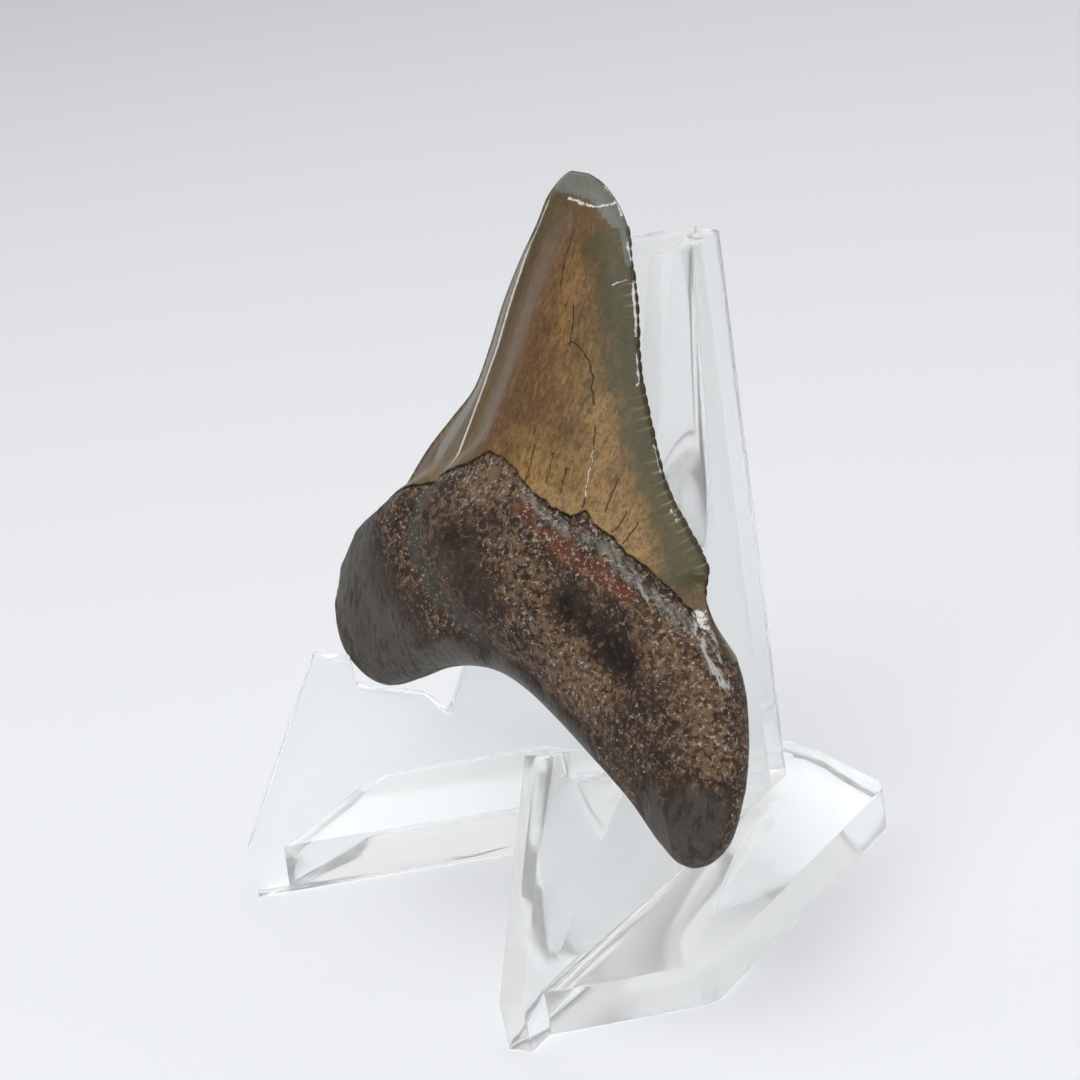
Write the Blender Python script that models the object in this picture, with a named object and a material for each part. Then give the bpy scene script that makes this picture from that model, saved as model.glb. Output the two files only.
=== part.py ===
# Fossil shark tooth leaning on a clear moulded easel.
# Metres, +Z up. The easel opens to the front, which is -Y. The origin is on the underside of the
# easel, on its middle line, where its two feet join behind the posts.
import bpy
import bmesh
import math
from mathutils import Vector, geometry

MM = 0.001

# Easel: two upright fins in a V, each with a foot plate on its outer side
HALF_ANGLE = math.radians(27.0)
POST_HEIGHT = 48.0 * MM
FIN_LENGTH = 41.6 * MM
FIN_THICK = 1.95 * MM
PLATE_THICK = 3.3 * MM
APEX_FORWARD = 3.0 * MM
BACK_EDGE = 5.6 * MM
POST_TOP_DEPTH = 7.6 * MM
SPINE_HALF = 1.5 * MM
SPINE_FRONT = 1.2 * MM
SPINE_BACK = 1.0 * MM
TOE = (FIN_LENGTH + 0.3 * MM, 3.7 * MM)
LIP_FRONT = (34.1 * MM, 19.1 * MM)
LIP_REAR = (31.3 * MM, 18.3 * MM)
LEDGE_FRONT = (31.1 * MM, 16.0 * MM)
LEDGE_REAR = (25.9 * MM, 14.5 * MM)
NOTCH = (24.3 * MM, 12.3 * MM)
NOTCH_RADIUS = 0.9 * MM
PLATE_CORNERS = ((39.0 * MM, FIN_THICK), (31.6 * MM, 11.4 * MM), (0.2 * MM, 10.8 * MM))
CORNER_RADIUS = 1.6 * MM

# Tooth: its width runs along X, its height leans back with the fronts of the two posts
CONTACT_GAP = 0.3 * MM
TOOTH_TURN = math.radians(5.0)
TURN_POINT = 11.0 * MM
CROWN_EDGE = 2.1 * MM
ROOT_EDGE = 3.4 * MM
CROWN_BULGE = 6.6 * MM
TIP_BULGE = 1.7 * MM
ROOT_FRONT = 9.4 * MM
LOBE_FRONT = 6.2 * MM
ROOT_ROUND = 6.5 * MM
LEFT_ROUND = 5.8 * MM
BACK_ROUND = 2.6 * MM
SPACING = 1.5 * MM
RINGS = (0.35 * MM, 1.0 * MM, 1.9 * MM)

# The tooth's outline in its own plane, clockwise from the tip, width and height in millimetres
OUTLINE = (
    (-4.0, 43.9), (-0.6, 43.5), (2.1, 42.0), (3.9, 40.2), (5.0, 38.0), (6.5, 35.2), (8.3, 30.6),
    (11.3, 26.0), (13.6, 23.0), (16.7, 20.5), (19.5, 18.3), (19.9, 16.4), (21.4, 14.9),
    (24.2, 12.9), (26.2, 10.2), (27.5, 6.0), (27.8, 2.4), (27.2, -0.3), (25.3, -2.0),
    (22.4, -1.2), (18.5, 0.8), (13.6, 2.7), (9.3, 4.3), (5.2, 5.6), (1.4, 6.2), (-2.5, 5.9),
    (-6.5, 4.8), (-10.0, 3.1), (-13.0, 1.95), (-16.2, 2.4), (-19.0, 4.0), (-20.6, 7.2),
    (-20.5, 10.2), (-19.2, 13.6), (-17.3, 17.0), (-15.2, 20.6), (-12.8, 23.6), (-10.8, 26.2),
    (-9.9, 29.5), (-9.3, 33.0), (-8.3, 36.4), (-7.1, 39.4), (-6.2, 42.0),
)
# Lower edge of the enamel on the front, width and height in millimetres
ENAMEL_EDGE = ((-19.6, 15.2), (-10.0, 18.6), (-2.5, 22.0), (4.0, 19.4), (11.0, 18.2), (22.0, 14.6))


def clear_scene():
    for item in list(bpy.data.objects):
        bpy.data.objects.remove(item, do_unlink=True)


def make_material(name, colour, roughness, transmission=0.0):
    material = bpy.data.materials.new(name)
    material.use_nodes = True
    shader = material.node_tree.nodes["Principled BSDF"]
    shader.inputs["Base Color"].default_value = (*colour, 1.0)
    shader.inputs["Roughness"].default_value = roughness
    shader.inputs["Metallic"].default_value = 0.0
    shader.inputs["Transmission Weight"].default_value = transmission
    return material


def add_object(name, mesh, material=None):
    obj = bpy.data.objects.new(name, mesh)
    bpy.context.scene.collection.objects.link(obj)
    if material:
        obj.data.materials.append(material)
    return obj


def leaf_point(side, along, out, height):
    """Point of one leaf: along its fin from the rear, out from the fin's inner face."""
    x = along * math.sin(HALF_ANGLE) + out * math.cos(HALF_ANGLE)
    y = -along * math.cos(HALF_ANGLE) + out * math.sin(HALF_ANGLE) - APEX_FORWARD
    return Vector((side * x, y, height))


def prism(name, bottom, top):
    """Closed solid between two matching loops of points."""
    bm = bmesh.new()
    low = [bm.verts.new(point) for point in bottom]
    high = [bm.verts.new(point) for point in top]
    bm.faces.new(low)
    bm.faces.new(high)
    count = len(low)
    for i in range(count):
        j = (i + 1) % count
        bm.faces.new((low[i], low[j], high[j], high[i]))
    bmesh.ops.recalc_face_normals(bm, faces=bm.faces)
    mesh = bpy.data.meshes.new(name)
    bm.to_mesh(mesh)
    bm.free()
    return mesh


def rounded_corner(before, corner, after, radius, steps=4):
    """Points of an arc-like curve that cuts a corner of a flat outline."""
    corner = Vector(corner)
    start = corner + (Vector(before) - corner).normalized() * radius
    end = corner + (Vector(after) - corner).normalized() * radius
    points = []
    for k in range(steps + 1):
        t = k / steps
        points.append(start * (1 - t) ** 2 + corner * 2 * t * (1 - t) + end * t ** 2)
    return points


def fin_profile():
    """Side view of a fin: how far along from the rear, and how high."""
    upright_top = (POST_TOP_DEPTH, POST_HEIGHT)
    notch = rounded_corner(LEDGE_REAR, NOTCH, upright_top, NOTCH_RADIUS)
    return [(0.0, 0.0), (FIN_LENGTH, 0.0), TOE, LIP_FRONT, LIP_REAR, LEDGE_FRONT, LEDGE_REAR,
            *[tuple(point) for point in notch], upright_top, (0.0, POST_HEIGHT)]


def build_fin(side):
    profile = fin_profile()
    inner = [leaf_point(side, along, 0.0, height) for along, height in profile]
    outer = [leaf_point(side, along, FIN_THICK, height) for along, height in profile]
    return prism("fin", inner, outer)


def plate_outline(side):
    """Plan of one foot plate, from the apex along the fin and back round the outer side."""
    front, outer, back = PLATE_CORNERS
    flat = [(0.0, 0.0), (FIN_LENGTH, 0.0), front]
    points = [leaf_point(side, *pair, 0.0) for pair in flat]
    front_p = leaf_point(side, *front, 0.0)
    outer_p = leaf_point(side, *outer, 0.0)
    back_p = leaf_point(side, *back, 0.0)
    middle_p = Vector((0.0, BACK_EDGE - APEX_FORWARD, 0.0))
    points += rounded_corner(front_p, outer_p, back_p, CORNER_RADIUS)
    points += rounded_corner(outer_p, back_p, middle_p, CORNER_RADIUS)
    points.append(middle_p)
    return points


def build_feet():
    right = plate_outline(1)
    left = plate_outline(-1)
    loop = right[:-1] + [right[-1]] + left[1:-1][::-1]
    lift = Vector((0.0, 0.0, PLATE_THICK))
    return prism("feet", loop, [point + lift for point in loop])


def build_spine():
    """Upright strip that joins the rear edges of the two fins."""
    low_y = -SPINE_FRONT - APEX_FORWARD
    high_y = SPINE_BACK - APEX_FORWARD
    corners = ((-SPINE_HALF, low_y), (SPINE_HALF, low_y), (SPINE_HALF, high_y), (-SPINE_HALF, high_y))
    bottom = [Vector((x, y, 0.0)) for x, y in corners]
    return prism("spine", bottom, [point + Vector((0.0, 0.0, POST_HEIGHT)) for point in bottom])


def join_solids(target, others):
    """Unite closed solids into one, then drop the helpers."""
    for other in others:
        cut = target.modifiers.new("unite", "BOOLEAN")
        cut.operation = "UNION"
        cut.solver = "EXACT"
        cut.object = other
    graph = bpy.context.evaluated_depsgraph_get()
    mesh = bpy.data.meshes.new_from_object(target.evaluated_get(graph))
    target.modifiers.clear()
    target.data = mesh
    for other in others:
        bpy.data.objects.remove(other, do_unlink=True)


def build_stand():
    plastic = make_material("clear_acrylic", (0.93, 0.95, 0.95), 0.05, 1.0)
    stand = add_object("display_stand", build_feet(), plastic)
    uprights = [add_object("fin_right", build_fin(1)), add_object("fin_left", build_fin(-1))]
    uprights.append(add_object("spine", build_spine()))
    join_solids(stand, uprights)
    return stand


def tooth_frame():
    """Foot of the posts' front line, and the tooth's width, height and front directions."""
    foot = leaf_point(1, NOTCH[0], 0.0, NOTCH[1])
    top = leaf_point(1, POST_TOP_DEPTH, 0.0, POST_HEIGHT)
    foot.x = 0.0
    top.x = 0.0
    height = (top - foot).normalized()
    straight = Vector((1.0, 0.0, 0.0))
    width = (straight * math.cos(TOOTH_TURN) - straight.cross(height) * math.sin(TOOTH_TURN))
    foot += (straight - width) * TURN_POINT
    return foot, width, height, width.cross(height)


def smooth_loop(points, step):
    """Closed curve through the points, read at about even steps."""
    loop = []
    count = len(points)
    for i in range(count):
        a, b, c, d = (Vector(points[(i + k) % count]) * MM for k in (-1, 0, 1, 2))
        pieces = max(1, round((c - b).length / step))
        for k in range(pieces):
            t = k / pieces
            curve = 2 * b + (c - a) * t + (2 * a - 5 * b + 4 * c - d) * t ** 2
            curve += (3 * b - a - 3 * c + d) * t ** 3
            loop.append(curve * 0.5)
    return loop


def edge_distance(point, loop):
    """Distance from a point to the loop, below zero outside it."""
    best = 1.0
    inside = False
    for i, start in enumerate(loop):
        end = loop[i - 1]
        run = end - start
        t = max(0.0, min(1.0, (point - start).dot(run) / run.length_squared))
        best = min(best, (point - start - run * t).length)
        if (start.y > point.y) != (end.y > point.y):
            cross = start.x + (point.y - start.y) * run.x / run.y
            inside ^= point.x < cross
    return best if inside else -best


def smooth_step(low, high, value):
    t = max(0.0, min(1.0, (value - low) / (high - low)))
    return t * t * (3 - 2 * t)


def enamel_height(x):
    """Height of the enamel's lower edge at a width, eased between its points."""
    points = [(px * MM, py * MM) for px, py in ENAMEL_EDGE]
    if x <= points[0][0]:
        return points[0][1]
    for (x0, y0), (x1, y1) in zip(points, points[1:]):
        if x <= x1:
            return y0 + (y1 - y0) * smooth_step(x0, x1, x)
    return points[-1][1]


def bell(x, y, centre_x, centre_y, spread_x, spread_y):
    return math.exp(-((x - centre_x) / spread_x) ** 2 - ((y - centre_y) / spread_y) ** 2)


def dome(value):
    """Quarter circle from 0 at the edge to 1."""
    t = 1.0 - max(0.0, min(1.0, value))
    return math.sqrt(1.0 - t * t)


def tooth_depths(x, y, inside):
    """Front and back of the tooth over its plane, both measured from the posts' fronts."""
    root = 1.0 - smooth_step(-2.5 * MM, 2.0 * MM, y - enamel_height(x))
    edge = CROWN_EDGE + (ROOT_EDGE - CROWN_EDGE) * root
    rise = max(0.0, min(1.0, (y - 20 * MM) / (24 * MM)))
    crown_full = CROWN_BULGE + (TIP_BULGE - CROWN_BULGE) * rise
    half_width = 13.5 * MM + (4.0 * MM - 13.5 * MM) * rise
    share = max(0.0, min(1.0, inside / half_width))
    crown = crown_full * share * (1.8 - 0.8 * share)
    torus = bell(x, y, -1.0 * MM, 14.5 * MM, 12.0 * MM, 7.0 * MM)
    bulk = LOBE_FRONT + (ROOT_FRONT - LOBE_FRONT) * torus
    lobe = smooth_step(6 * MM, 14 * MM, -x) * (1.0 - smooth_step(8 * MM, 16 * MM, y))
    fall = ROOT_ROUND + (LEFT_ROUND - ROOT_ROUND) * lobe
    front = edge + crown * (1 - root) + (bulk - edge) * dome(inside / fall) * root
    back = edge - (edge - CONTACT_GAP) * dome(inside / BACK_ROUND)
    return front, back


def plan_points(loop):
    """Points inside the outline: rows that follow it, then an even field of triangles."""
    points = []
    count = len(loop)
    for inset in RINGS:
        for i in range(count):
            along = (loop[(i + 1) % count] - loop[i - 1]).normalized()
            point = loop[i] + Vector((along.y, -along.x)) * inset
            if edge_distance(point, loop) > inset * 0.93:
                points.append(point)
    row_gap = SPACING * math.sqrt(3) / 2
    for row in range(-3, 36):
        for column in range(-21, 23):
            point = Vector(((column + 0.5 * (row % 2)) * SPACING, row * row_gap))
            if edge_distance(point, loop) > RINGS[-1] + 0.5 * SPACING:
                points.append(point)
    return points


def build_tooth():
    loop = smooth_loop(OUTLINE, 1.3 * MM)
    count = len(loop)
    plan = loop + plan_points(loop)
    edges = [(i, (i + 1) % count) for i in range(count)]
    flat, _, faces, *_ = geometry.delaunay_2d_cdt(plan, edges, [], 1, 1e-7)
    foot, width, height, front_dir = tooth_frame()
    bm = bmesh.new()
    fronts = []
    backs = []
    for i, point in enumerate(flat):
        inside = 0.0 if i < count else edge_distance(point, loop)
        front, back = tooth_depths(point.x, point.y, inside)
        place = foot + width * point.x + height * point.y
        fronts.append(bm.verts.new(place + front_dir * front))
        backs.append(fronts[-1] if i < count else bm.verts.new(place + front_dir * back))
    for face in faces:
        bm.faces.new([fronts[i] for i in face])
        bm.faces.new([backs[i] for i in reversed(face)])
    bmesh.ops.recalc_face_normals(bm, faces=bm.faces)
    mesh = bpy.data.meshes.new("tooth")
    bm.to_mesh(mesh)
    bm.free()
    mesh.shade_smooth()
    return add_object("tooth", mesh, make_material("fossil", (0.12, 0.075, 0.04), 0.5))


clear_scene()
build_stand()
build_tooth()
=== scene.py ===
"""Fossil shark tooth on a clear moulded easel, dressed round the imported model.

The tooth's own frame is in millimetres: u along its width, v up its height and n out of its
front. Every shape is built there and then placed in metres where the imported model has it.
"""

import logging
import math
from dataclasses import dataclass, field
from enum import Enum
from functools import partial
from typing import Any

import bmesh
import bpy
import numpy as np
from bpy.types import ID, Material, Mesh, Node, NodeSocket, NodeTree, Object
from mathutils import Matrix, Vector, geometry, noise

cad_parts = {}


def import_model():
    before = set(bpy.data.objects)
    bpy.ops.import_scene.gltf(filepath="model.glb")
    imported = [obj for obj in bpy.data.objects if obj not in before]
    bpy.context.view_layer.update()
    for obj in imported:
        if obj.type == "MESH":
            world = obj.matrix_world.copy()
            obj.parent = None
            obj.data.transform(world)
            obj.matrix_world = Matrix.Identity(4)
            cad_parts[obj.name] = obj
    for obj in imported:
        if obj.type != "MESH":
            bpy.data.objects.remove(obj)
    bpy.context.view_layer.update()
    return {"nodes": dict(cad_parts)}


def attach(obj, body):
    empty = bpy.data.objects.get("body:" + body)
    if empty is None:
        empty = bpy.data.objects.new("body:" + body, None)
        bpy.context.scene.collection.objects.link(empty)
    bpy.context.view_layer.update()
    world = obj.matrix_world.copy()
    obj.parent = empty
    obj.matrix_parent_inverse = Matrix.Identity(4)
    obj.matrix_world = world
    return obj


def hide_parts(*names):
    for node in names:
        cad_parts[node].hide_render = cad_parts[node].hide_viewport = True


LOG = logging.getLogger("fossil_tooth")
MM = 0.001
Pair = tuple[float, float]
Triple = tuple[float, float, float]
Path = tuple[Pair, ...]
Layers = tuple[tuple[str, str, float], ...]
Sockets = dict[str, NodeSocket]

# How far the enamel's edge and the cracks stray, and how many turns they make a millimetre
EDGE_SWAY, EDGE_TURNS = 0.17, 0.9
CRACK_SWAY, CRACK_TURNS = 0.14, 1.7
# Points that are measured against the outline at a time, to keep memory low
BLOCK = 3000


class StainOrPaintedLight(Enum):
    """A kind of patch on the fossil, or of painted light on it, with the name of the attribute that
    holds it.
    """

    WARM = "stain_warm"
    GOLD = "stain_gold"
    GREEN = "stain_green"
    CHIPPED = "stain_chipped"
    RED = "stain_red"
    DARK = "stain_dark"
    GREY = "stain_grey"
    TAN = "stain_tan"
    SMOOTH = "stain_smooth"
    FLAKED = "stain_flaked"
    NECK = "stain_neck"
    # Painted highlight: a pale line along the crease, where the ridge catches the light
    CREST = "stain_crest"
    # Painted reflection: the grey sheen of the bright surroundings on the steep left flank
    FLANK_REFLECTION = "stain_flank"


OUTLINE: Path = (
    (-4.0, 43.9), (-0.6, 43.5), (2.1, 42.0), (3.9, 40.2), (5.0, 38.0), (6.5, 35.2), (8.3, 30.6),
    (11.3, 26.0), (13.6, 23.0), (16.7, 20.5), (19.5, 18.3), (19.9, 16.4), (21.4, 14.9),
    (24.2, 12.9), (26.2, 10.2), (27.5, 6.0), (27.8, 2.4), (27.2, -0.3), (25.3, -2.0),
    (22.4, -1.2), (18.5, 0.8), (13.6, 2.7), (9.3, 4.3), (5.2, 5.6), (1.4, 6.2), (-2.5, 5.9),
    (-6.5, 4.8), (-10.0, 3.1), (-13.0, 1.95), (-16.2, 2.4), (-19.0, 4.0), (-20.6, 7.2),
    (-20.5, 10.2), (-19.2, 13.6), (-17.3, 17.0), (-15.2, 20.6), (-12.8, 23.6), (-10.8, 26.2),
    (-9.9, 29.5), (-9.3, 33.0), (-8.3, 36.4), (-7.1, 39.4), (-6.2, 42.0),
)
# The broad run of the enamel's lower edge, which shapes the solid
BROAD_EDGE: Path = (
    (-19.6, 15.2), (-10.0, 18.6), (-2.5, 22.0), (4.0, 19.4), (11.0, 18.2), (22.0, 14.6),
)
# The same edge drawn closely, front and back
FRONT_EDGE: Path = (
    (-19.8, 14.6), (-16.0, 16.0), (-12.0, 17.6), (-9.9, 18.4), (-7.8, 19.0), (-6.0, 19.7),
    (-3.9, 20.6), (-2.2, 21.3), (-0.4, 22.4), (1.5, 22.0), (2.5, 21.6), (3.3, 21.0), (4.8, 20.4),
    (6.7, 19.7), (8.7, 19.3), (9.0, 19.6), (9.2, 20.0), (9.7, 19.7), (10.7, 19.2), (12.5, 18.7),
    (14.5, 17.8), (16.3, 17.2), (18.2, 16.2), (19.9, 15.2), (21.6, 14.1),
)
BACK_EDGE: Path = (
    (-20.2, 12.4), (-14.0, 12.8), (-8.0, 14.4), (-2.0, 17.2), (0.6, 17.8), (4.0, 16.4),
    (10.0, 14.2), (16.0, 13.0), (22.6, 12.4),
)
# The crease between the crown's front and its left flank: width, height, rise above the edge.
CREST: tuple[Triple, ...] = (
    (-7.0, 18.4, 3.4), (-7.6, 20.9, 2.85), (-7.7, 23.0, 2.3), (-7.45, 25.1, 2.05),
    (-7.15, 27.2, 1.85), (-7.05, 29.9, 1.45), (-7.1, 33.0, 1.05), (-6.4, 37.2, 0.9),
    (-5.6, 41.3, 0.5),
)
S_STRIP: Path = (
    (-8.4, 17.8), (-8.3, 16.3), (-7.9, 14.8), (-5.8, 12.9), (-3.7, 11.1), (-1.1, 9.8), (0.3, 8.3),
)
LEFT_LOBE: Path = ((-17.0, 10.9), (-13.0, 7.0), (-9.5, 4.6))
ARCH_RIM: Path = ((-8.0, 4.8), (-2.5, 6.8), (3.0, 6.8), (8.6, 5.2), (13.6, 3.5))
CRACKS: tuple[Path, ...] = (
    ((-0.5, 39.8), (0.1, 37.9), (0.3, 36.4), (0.7, 34.9)),
    ((2.3, 34.1), (2.9, 32.3), (3.1, 31.1)),
    ((2.8, 31.1), (3.2, 31.5), (4.1, 31.0), (5.0, 30.3), (5.8, 28.7), (6.4, 27.3)),
    ((7.2, 25.9), (7.9, 24.2), (8.4, 22.4), (8.8, 20.9), (9.1, 20.0)),
    ((3.3, 23.6), (3.9, 21.0)), ((5.1, 23.4), (5.5, 21.2)), ((6.6, 22.6), (6.9, 20.6)),
    ((10.4, 22.6), (10.7, 20.2)), ((12.1, 20.6), (12.4, 19.0)), ((13.3, 20.0), (13.6, 18.4)),
)
FILLED_CRACKS: tuple[Path, ...] = (
    ((5.5, 37.0), (4.4, 36.1)), ((7.8, 24.6), (8.4, 22.4), (8.8, 20.9)),
)
# Soft-edged patches over the tooth's front, with the painted highlight and the painted reflection
# by the crease: width, strength and path of each
PATCHES: dict[StainOrPaintedLight, tuple[tuple[float, float, Path], ...]] = {
    # Painted highlight along the crease
    StainOrPaintedLight.CREST: ((0.3, 1.0, tuple((u, v) for u, v, _ in CREST)),),
    # Painted reflection on the left flank beyond the crease
    StainOrPaintedLight.FLANK_REFLECTION: (
        (1.8, 1.3, ((-11.6, 20.9), (-10.3, 24.0), (-9.1, 27.0), (-8.6, 30.0), (-8.3, 33.0),
                    (-7.3, 37.0))),
    ),
    StainOrPaintedLight.WARM: (
        (6.0, 0.8, ((-4.5, 36.0), (-3.0, 28.0), (-1.0, 24.0))),
        (4.5, 0.9, ((0.4, 38.5), (0.0, 33.0), (2.5, 27.0))),
    ),
    StainOrPaintedLight.GOLD: (
        (4.0, 0.4, ((1.8, 35.6), (3.0, 32.0), (4.6, 27.5))),
        (5.0, 0.9, ((3.8, 21.8), (7.2, 20.9), (10.2, 20.9), (14.5, 18.9))),
        (3.0, 0.9, ((7.6, 27.0), (8.6, 24.3), (9.4, 21.5))),
    ),
    StainOrPaintedLight.GREEN: (
        (2.6, 1.0, ((2.6, 38.9), (5.4, 35.1), (9.9, 27.0), (13.0, 23.2), (18.6, 17.7))),
        (1.7, 1.2, ((8.0, 31.0), (9.2, 28.4))),
        (2.2, 0.6, ((-4.6, 39.5), (-5.6, 35.0), (-5.6, 30.5), (-5.6, 26.5))),
    ),
    StainOrPaintedLight.CHIPPED: (
        (2.1, 1.3, ((-4.6, 43.3), (0.0, 43.1), (2.9, 41.4))),
        (0.7, 1.1, ((3.6, 40.2), (4.8, 38.0))),
    ),
    StainOrPaintedLight.FLAKED: (
        (0.2, 1.2, ((4.1, 39.4), (4.8, 38.1))),
        (0.22, 1.3, ((5.6, 36.6), (6.6, 34.4), (7.2, 32.8))),
        (0.2, 1.0, ((7.6, 31.6), (8.6, 29.2))), (0.2, 1.0, ((11.4, 25.5), (12.8, 23.6))),
        (0.2, 1.0, ((14.6, 21.6), (16.2, 20.4))),
        (0.27, 1.0, ((-2.8, 41.8), (-1.0, 41.6), (0.6, 41.5), (1.8, 42.1))),
        (0.4, 0.9, ((0.2, 43.2), (1.6, 42.5), (2.8, 41.3))),
        (0.9, 0.85, ((20.6, 15.0), (21.5, 14.2), (23.6, 12.9), (24.9, 11.8))),
        (0.8, 0.8, ((22.4, 14.4), (24.2, 13.0), (25.6, 11.0))),
        (0.6, 0.6, ((16.4, 16.0), (18.8, 14.4), (20.6, 12.8))),
    ),
    StainOrPaintedLight.RED: (
        (1.5, 1.0, ((4.9, 19.0), (6.3, 18.2), (9.6, 17.0), (13.6, 16.0), (16.1, 15.2))),
    ),
    StainOrPaintedLight.DARK: (
        (2.2, 1.0, ((10.9, 13.1), (12.8, 12.5), (15.0, 11.6), (17.9, 10.4))),
        (3.4, 0.7, ((-2.7, 16.6), (0.9, 14.2), (2.7, 12.4))),
    ),
    StainOrPaintedLight.GREY: ((2.0, 1.0, S_STRIP), (7.0, 0.9, LEFT_LOBE), (1.8, 0.8, ARCH_RIM),),
    StainOrPaintedLight.TAN: (
        (2.4, 1.0, ((-3.0, 16.9), (-0.9, 19.3), (2.1, 20.5), (-0.4, 21.0))),
        (3.0, 0.6, ((5.4, 16.2), (8.4, 13.6), (9.8, 11.0))),
        (3.6, 0.9, ((12.7, 10.3), (11.3, 8.5), (15.0, 8.0))),
        (3.0, 0.7, ((18.8, 11.8), (22.3, 11.9), (24.8, 9.7))),
        (2.6, 0.8, ((25.8, 7.4), (26.8, 5.3))),
    ),
    StainOrPaintedLight.SMOOTH: (
        (4.0, 1.1, ((26.5, 1.6), (25.2, 0.4), (23.0, 0.6))), (7.0, 1.0, LEFT_LOBE),
        (1.8, 1.0, ARCH_RIM),
    ),
    StainOrPaintedLight.NECK: (
        (1.0, 1.0, ((4.2, 20.0), (7.1, 18.9), (9.7, 18.3), (12.5, 17.9), (14.8, 16.9), (17.4, 15.7),
                    (19.5, 14.7), (21.0, 13.9))),
        (0.8, 0.8, ((-10.0, 18.2), (-6.0, 19.4), (-2.5, 20.9))),
    ),
}
# Hollows in the front, or ridges where the depth is below zero: depth, spread and path
GROOVES: tuple[tuple[float, float, Path], ...] = (
    (1.2, 1.7, S_STRIP),
    (0.5, 2.0, ((9.5, 13.3), (12.8, 12.5), (15.0, 11.6), (17.9, 10.4))),
    (0.4, 0.8, ((3.0, 8.3), (8.6, 6.8), (13.0, 5.2))),
    (0.25, 0.5, ((20.9, 14.2), (23.0, 12.6), (24.6, 11.4))),
    (-0.3, 0.45, ((22.0, 14.2), (24.0, 12.6), (25.3, 10.9))),
    (0.45, 1.0, ((-3.0, 43.6), (0.2, 43.2), (2.9, 41.6))),
)
# The fossil's noises: stretch, how many a millimetre, detail and roughness
NOISES: dict[str, tuple[Triple, float, float, float]] = {
    "cloud": ((1.0, 0.8, 1.0), 0.2, 3.0, 0.5),
    "mottle": ((1.0, 0.6, 1.0), 0.6, 6.0, 0.68),
    "fibre": ((1.0, 0.1, 1.0), 4.6, 5.0, 0.66),
    "grain": ((1.0, 1.0, 1.0), 1.9, 5.0, 0.7),
    "fine": ((1.0, 1.0, 1.0), 3.0, 4.0, 0.7),
    "patch": ((1.0, 1.0, 1.0), 0.35, 4.0, 0.6),
    "curved": ((1.0, 0.25, 0.5), 2.6, 4.0, 0.6),
}
# Its masks: pattern, fields added with their gains, value where the mask is 0, and where 1
MASKS: dict[str, tuple[str, dict[str, float], float, float]] = {
    "enamel": ("above_edge", {}, 0.0, 0.08),
    "dull": ("cloud", {}, 0.46, 0.6),
    "mottled": ("grain", {}, 0.5, 0.62),
    "warm": ("mottle", {"warm": 0.42}, 0.5, 0.88),
    "gold": ("mottle", {"gold": 0.45}, 0.48, 0.98),
    "green": ("mottle", {"green": 0.45}, 0.58, 0.92),
    "edge_band": ("mottle", {"rim": -0.1}, 0.2, 0.44),
    "fibre_dark": ("fibre", {"gold": 0.05}, 0.53, 0.66),
    "fibre_pale": ("fibre", {}, 0.46, 0.34),
    "chipped": ("grain", {"chipped": 0.8}, 0.95, 1.1),
    "flaked": ("slant", {"flaked": 0.55}, 0.86, 1.04),
    "sliver": ("fine", {"flaked": 0.6}, 0.84, 1.02),
    # Painted highlight along the crease
    "crest": ("grain", {"crest": 0.8}, 0.72, 1.2),
    # Painted grey reflection on the left flank
    "flank": ("cloud", {"flank": 0.7}, 0.62, 1.4),
    "rim": ("fine", {"rim": -2.6}, 0.2, 0.48),
    "crack": ("fine", {"crack": -4.2}, 0.22, 0.46),
    "filled": ("fine", {"filled": -3.4}, 0.3, 0.46),
    "patchy": ("patch", {}, 0.44, 0.58),
    "red": ("patch", {"red": 0.5}, 0.66, 1.02),
    "dark": ("mottle", {"dark": 0.5}, 0.74, 1.08),
    "grey": ("mottle", {"grey": 0.5}, 0.6, 0.95),
    "smooth": ("mottle", {"smooth": 0.5}, 0.55, 0.9),
    "tan": ("grain", {"tan": 0.1, "dark": -0.11, "smooth": -0.16, "grey": -0.06, "red": -0.03},
            0.47, 0.64),
    "white": ("fine", {"tan": 0.02, "red": 0.02, "neck": 0.04, "dark": -0.12, "smooth": -0.25},
              0.56, 0.67),
    "neck": ("slant", {"neck": 0.45}, 0.78, 1.08),
    "curved": ("curved", {}, 0.5, 0.62),
    "pit": ("pit", {}, 0.35, 0.15),
}


def linear(code: str) -> tuple[float, float, float, float]:
    """Turns a sRGB hex colour into linear values.

    Args:
        code: Six hex digits.

    Returns:
        Red, green, blue and an alpha of 1.
    """
    parts = [int(code[i:i + 2], 16) / 255 for i in (0, 2, 4)]
    red, green, blue = (p / 12.92 if p <= 0.04045 else ((p + 0.055) / 1.055) ** 2.4 for p in parts)
    return red, green, blue, 1.0


def add_node(tree: NodeTree, kind: str, inputs: dict[Any, Any] | None = None,
             **settings: Any) -> Node:
    """Adds a node, sets its properties, and fills or links its inputs.

    Args:
        tree: Node tree that takes it.
        kind: Blender's name for the node.
        inputs: Socket name or number, with a value or with the output socket to link.
        settings: Properties of the node.

    Returns:
        The new node.
    """
    node = tree.nodes.new(kind)
    for name, value in settings.items():
        setattr(node, name, value)
    for key, value in (inputs or {}).items():
        if isinstance(value, NodeSocket):
            tree.links.new(value, node.inputs[key])
        else:
            node.inputs[key].default_value = value
    return node


def smooth_step(low: float, high: float, value: np.ndarray) -> np.ndarray:
    """Eases from 0 at the low value to 1 at the high one."""
    t = np.clip((value - low) / (high - low), 0.0, 1.0)
    return t * t * (3 - 2 * t)


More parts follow.
